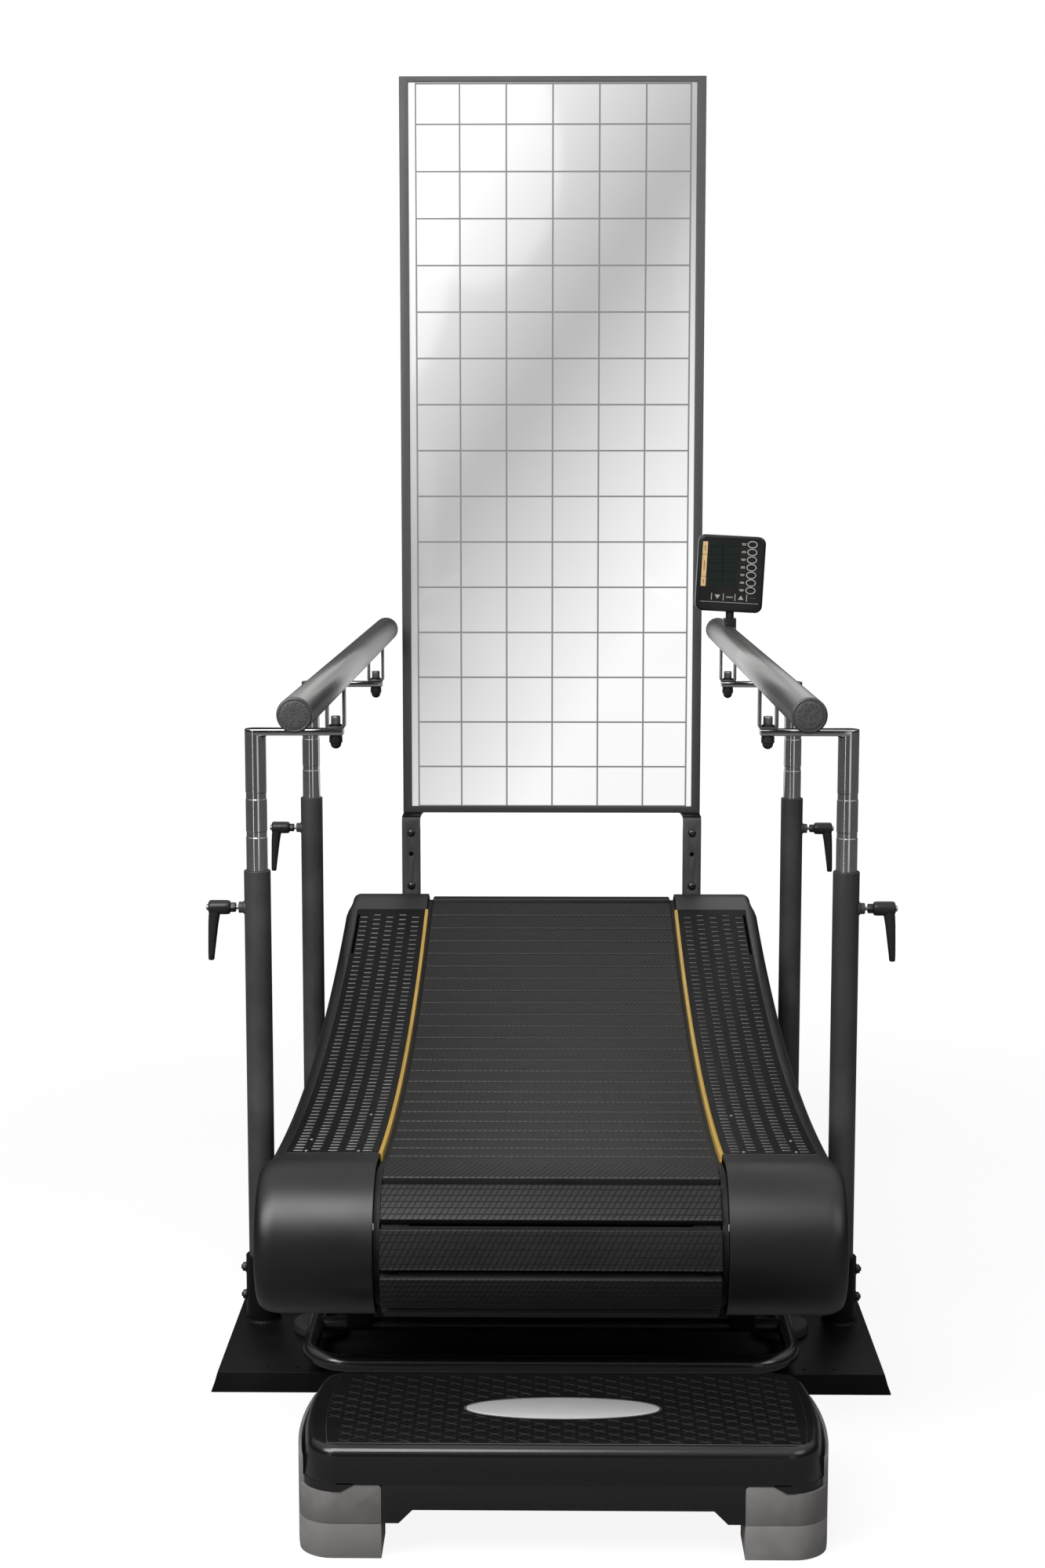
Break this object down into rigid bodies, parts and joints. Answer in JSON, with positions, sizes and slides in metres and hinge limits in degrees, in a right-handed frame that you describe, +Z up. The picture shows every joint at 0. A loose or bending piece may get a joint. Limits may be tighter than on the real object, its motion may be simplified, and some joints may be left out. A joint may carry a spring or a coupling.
{
  "type": "biofeedback treadmill",
  "caption": "Manual curved slat-belt treadmill with height-adjustable swing-out hand rails, a tall posture mirror with a grid, a rail console and a low step.",
  "frame": {"origin": "centre of the bounding box at floor level", "axes": "+Z up; +Y forward, from the step along the belt to the mirror; +X to the right of a person facing the mirror"},
  "size_m": [1.098, 2.08, 2.188],
  "materials": {
    "satin_black": "satin black coated steel",
    "black_plastic": "black moulded plastic, lightly textured",
    "rubber": "black rubber slats with fine diamond lines",
    "chrome": "bright chrome plating",
    "aluminium": "satin anodised",
    "grey_plastic": "grey moulded plastic",
    "yellow": "mustard yellow strip",
    "mirror_glass": "mirror glass with a printed posture grid",
    "white_nylon": "plain nylon"
  },
  "bodies": {
    "base": {"rear_base_plate": "satin_black", "front_base_plate": "satin_black", "base_frame": "satin_black", "left_side_frame": "satin_black", "right_side_frame": "satin_black", "left_mirror_leg": "satin_black", "right_mirror_leg": "satin_black", "left_cover": "black_plastic", "right_cover": "black_plastic", "left_tread": "black_plastic", "right_tread": "black_plastic", "mirror_frame": "black_plastic", "step_top": "black_plastic", "slat_belt": "rubber", "left_upper_riser": "grey_plastic", "left_lower_riser": "grey_plastic", "right_upper_riser": "grey_plastic", "right_lower_riser": "grey_plastic", "left_edge_strip": "yellow", "right_edge_strip": "yellow", "mirror_glass": "mirror_glass", "left_rear_post": "satin_black", "left_front_post": "satin_black", "right_rear_post": "satin_black", "right_front_post": "satin_black"},
    "left_rear_guide": {"left_rear_bush": "white_nylon"},
    "left_rear_arm": {"left_rear_tube": "chrome", "left_rear_pivot_bolt": "satin_black"},
    "left_rear_lever": {"left_rear_lever": "black_plastic"},
    "left_rear_foot": {"left_rear_foot": "black_plastic"},
    "left_front_guide": {"left_front_bush": "white_nylon"},
    "left_front_arm": {"left_front_tube": "chrome", "left_front_pivot_bolt": "satin_black"},
    "left_front_lever": {"left_front_lever": "black_plastic"},
    "left_front_foot": {"left_front_foot": "black_plastic"},
    "left_rail": {"left_rail": "aluminium", "left_rear_rail_cap": "black_plastic", "left_rear_bracket": "satin_black", "left_front_rail_cap": "black_plastic", "left_front_bracket": "satin_black"},
    "right_rear_guide": {"right_rear_bush": "white_nylon"},
    "right_rear_arm": {"right_rear_tube": "chrome", "right_rear_pivot_bolt": "satin_black"},
    "right_rear_lever": {"right_rear_lever": "black_plastic"},
    "right_rear_foot": {"right_rear_foot": "black_plastic"},
    "right_front_guide": {"right_front_bush": "white_nylon"},
    "right_front_arm": {"right_front_tube": "chrome", "right_front_pivot_bolt": "satin_black"},
    "right_front_lever": {"right_front_lever": "black_plastic"},
    "right_front_foot": {"right_front_foot": "black_plastic"},
    "right_rail": {"right_rail": "aluminium", "right_rear_rail_cap": "black_plastic", "right_rear_bracket": "satin_black", "right_front_rail_cap": "black_plastic", "right_front_bracket": "satin_black", "console_clamp": "black_plastic"},
    "rear_drum": {"rear_drum": "aluminium"},
    "front_drum": {"front_drum": "aluminium"},
    "console": {"console_body": "black_plastic", "console_keypad": "black_plastic"}
  },
  "joints": [
    {"name": "left_rail_height", "type": "slide", "parent": "base", "child": "left_rear_guide", "axis": [0, 0, 1], "range_m": [-0.21, 0.19]},
    {"name": "left_rear_swing", "type": "hinge", "parent": "left_rear_guide", "child": "left_rear_arm", "pos_m": [-0.467, -0.225, 0.995], "axis": [0, 0, -1], "range_deg": [0, 180]},
    {"name": "left_rail_turn", "type": "hinge", "parent": "left_rear_arm", "child": "left_rail", "pos_m": [-0.34, -0.225, 0.995], "axis": [0, 0, -1], "range_deg": [-180, 0]},
    {"name": "left_front_height", "type": "slide", "parent": "base", "child": "left_front_guide", "axis": [0, 0, 1], "range_m": [-0.21, 0.19]},
    {"name": "left_front_swing", "type": "hinge", "parent": "left_front_guide", "child": "left_front_arm", "pos_m": [-0.467, 0.655, 0.995], "axis": [0, 0, -1], "range_deg": [0, 180]},
    {"name": "left_rear_lever_turn", "type": "hinge", "parent": "base", "child": "left_rear_lever", "pos_m": [-0.467, -0.225, 0.709], "axis": [1, 0, 0], "range_deg": [-90, 90]},
    {"name": "left_rear_foot_turn", "type": "hinge", "parent": "base", "child": "left_rear_foot", "pos_m": [-0.3675, -0.277, 0.0323], "axis": [0, 0, 1], "continuous": true},
    {"name": "left_front_lever_turn", "type": "hinge", "parent": "base", "child": "left_front_lever", "pos_m": [-0.467, 0.655, 0.709], "axis": [1, 0, 0], "range_deg": [-90, 90]},
    {"name": "left_front_foot_turn", "type": "hinge", "parent": "base", "child": "left_front_foot", "pos_m": [-0.3675, 0.707, 0.0323], "axis": [0, 0, 1], "continuous": true},
    {"name": "right_rail_height", "type": "slide", "parent": "base", "child": "right_rear_guide", "axis": [0, 0, 1], "range_m": [-0.21, 0.19]},
    {"name": "right_rear_swing", "type": "hinge", "parent": "right_rear_guide", "child": "right_rear_arm", "pos_m": [0.467, -0.225, 0.995], "axis": [0, 0, 1], "range_deg": [0, 180]},
    {"name": "right_rail_turn", "type": "hinge", "parent": "right_rear_arm", "child": "right_rail", "pos_m": [0.34, -0.225, 0.995], "axis": [0, 0, 1], "range_deg": [-180, 0]},
    {"name": "right_front_height", "type": "slide", "parent": "base", "child": "right_front_guide", "axis": [0, 0, 1], "range_m": [-0.21, 0.19]},
    {"name": "right_front_swing", "type": "hinge", "parent": "right_front_guide", "child": "right_front_arm", "pos_m": [0.467, 0.655, 0.995], "axis": [0, 0, 1], "range_deg": [0, 180]},
    {"name": "right_rear_lever_turn", "type": "hinge", "parent": "base", "child": "right_rear_lever", "pos_m": [0.467, -0.225, 0.709], "axis": [1, 0, 0], "range_deg": [-90, 90]},
    {"name": "right_rear_foot_turn", "type": "hinge", "parent": "base", "child": "right_rear_foot", "pos_m": [0.3675, -0.277, 0.0323], "axis": [0, 0, 1], "continuous": true},
    {"name": "right_front_lever_turn", "type": "hinge", "parent": "base", "child": "right_front_lever", "pos_m": [0.467, 0.655, 0.709], "axis": [1, 0, 0], "range_deg": [-90, 90]},
    {"name": "right_front_foot_turn", "type": "hinge", "parent": "base", "child": "right_front_foot", "pos_m": [0.3675, 0.707, 0.0323], "axis": [0, 0, 1], "continuous": true},
    {"name": "rear_drum_spin", "type": "hinge", "parent": "base", "child": "rear_drum", "pos_m": [0, -0.636, 0.29726], "axis": [1, 0, 0], "continuous": true},
    {"name": "front_drum_spin", "type": "hinge", "parent": "base", "child": "front_drum", "pos_m": [0, 0.845, 0.42957], "axis": [1, 0, 0], "continuous": true},
    {"name": "console_swivel", "type": "hinge", "parent": "right_rail", "child": "console", "pos_m": [0.346, 0.705, 1.11495], "axis": [0, 0, 1], "range_deg": [-60, 60]}
  ],
  "couplings": [
    {"joint": "left_front_height", "follows": "left_rail_height", "ratio": 1},
    {"joint": "left_front_swing", "follows": "left_rear_swing", "ratio": 1},
    {"joint": "left_rail_turn", "follows": "left_rear_swing", "ratio": -1},
    {"joint": "right_front_height", "follows": "right_rail_height", "ratio": 1},
    {"joint": "right_front_swing", "follows": "right_rear_swing", "ratio": 1},
    {"joint": "right_rail_turn", "follows": "right_rear_swing", "ratio": -1},
    {"joint": "front_drum_spin", "follows": "rear_drum_spin", "ratio": 1}
  ]
}
